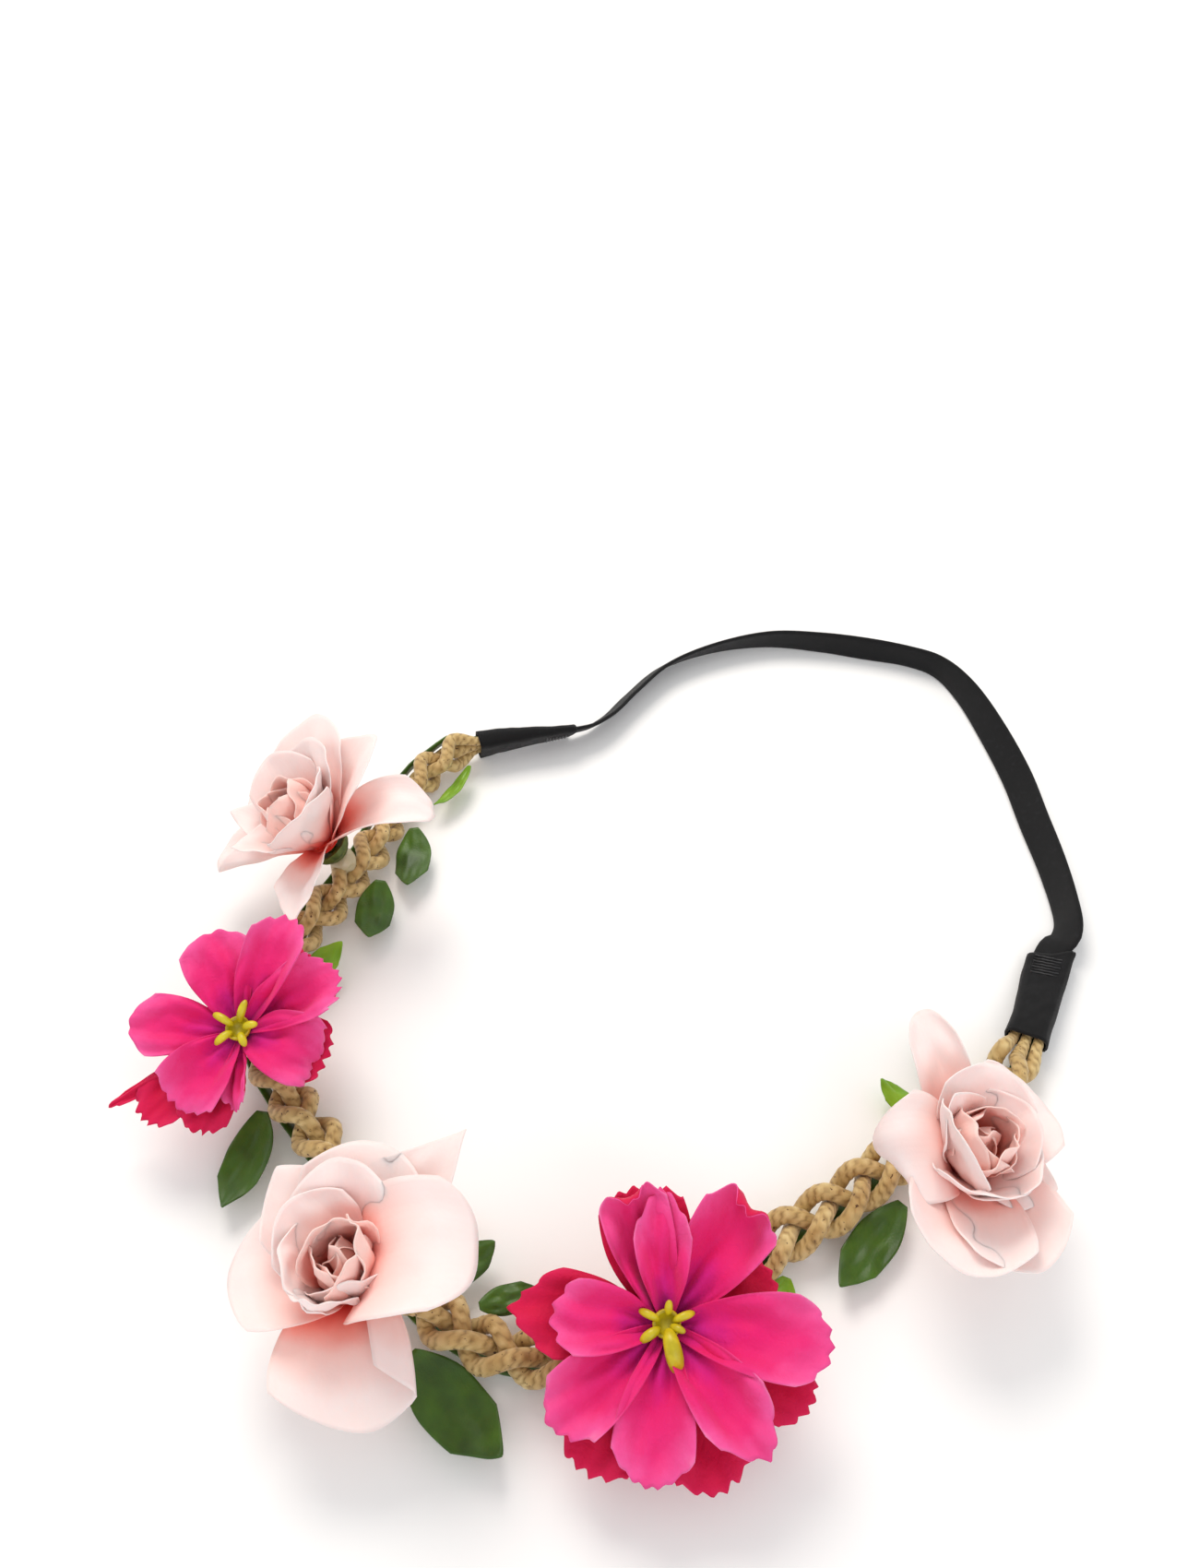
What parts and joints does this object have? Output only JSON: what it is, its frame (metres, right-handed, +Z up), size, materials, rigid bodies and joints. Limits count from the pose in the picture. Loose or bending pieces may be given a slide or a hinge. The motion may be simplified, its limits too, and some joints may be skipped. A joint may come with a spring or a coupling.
{
  "type": "flower crown",
  "caption": "Flower crown: braided waxed cords with satin leaves, silk roses and cosmos glued along the front, and a flat elastic strap joining two folded sleeves at the back.",
  "frame": {"origin": "middle of the crown's outline, on the plane that it lies on", "axes": "+Z up from the plane it lies on, +Y from the middle of the braid at the front to the elastic at the back, +X to the right of the loop seen from above with +Y ahead"},
  "size_m": [0.1859, 0.2212, 0.0322],
  "materials": {
    "cord": "waxed cotton braid, slight sheen",
    "leaf": "satin ribbon, soft sheen",
    "sleeve_fabric": "plain woven, matte",
    "elastic": "knitted elastic, matte",
    "thread": "sewing thread",
    "rose_petal": "polyester petal cloth, matte",
    "cosmos_petal": "polyester petal cloth, matte",
    "cosmos_back_petal": "polyester petal cloth, matte",
    "stamen": "moulded, satin",
    "calyx": "moulded, matte",
    "pin": "moulded, matte",
    "glue": "set hot-melt glue, translucent"
  },
  "bodies": {
    "garland": {"cord_1": "cord", "cord_2": "cord", "cord_3": "cord", "cosmos_front_back_petals": "cosmos_back_petal", "cosmos_front_calyx": "calyx", "cosmos_front_front_petals": "cosmos_petal", "cosmos_front_glue": "glue", "cosmos_front_pin": "pin", "cosmos_front_stamens": "stamen", "cosmos_left_back_petals": "cosmos_back_petal", "cosmos_left_calyx": "calyx", "cosmos_left_front_petals": "cosmos_petal", "cosmos_left_glue": "glue", "cosmos_left_pin": "pin", "cosmos_left_stamens": "stamen", "leaf_01": "leaf", "leaf_02": "leaf", "leaf_03": "leaf", "leaf_04": "leaf", "leaf_05": "leaf", "leaf_06": "leaf", "leaf_07": "leaf", "leaf_08": "leaf", "leaf_09": "leaf", "leaf_10": "leaf", "leaf_11": "leaf", "leaf_12": "leaf", "leaf_ribbon": "leaf", "rose_front_bud": "rose_petal", "rose_front_calyx": "calyx", "rose_front_glue": "glue", "rose_front_inner_petals": "rose_petal", "rose_front_middle_petals": "rose_petal", "rose_front_outer_petals": "rose_petal", "rose_front_pin": "pin", "rose_left_bud": "rose_petal", "rose_left_calyx": "calyx", "rose_left_glue": "glue", "rose_left_inner_petals": "rose_petal", "rose_left_middle_petals": "rose_petal", "rose_left_outer_petals": "rose_petal", "rose_left_pin": "pin", "rose_right_bud": "rose_petal", "rose_right_calyx": "calyx", "rose_right_glue": "glue", "rose_right_inner_petals": "rose_petal", "rose_right_middle_petals": "rose_petal", "rose_right_outer_petals": "rose_petal", "rose_right_pin": "pin", "sleeve_left": "sleeve_fabric", "sleeve_left_stitches": "thread", "sleeve_right": "sleeve_fabric", "sleeve_right_stitches": "thread", "strap_left_run": "elastic", "strap_right_run": "elastic"},
    "strap_back": {"strap_back": "elastic"}
  },
  "joints": [
    {"name": "elastic_stretch", "type": "slide", "parent": "garland", "child": "strap_back", "axis": [0, 1, 0], "range_m": [0, 0.04], "stiffness_N_per_m": 70, "deforming": ["strap_left_run", "strap_right_run"]}
  ]
}
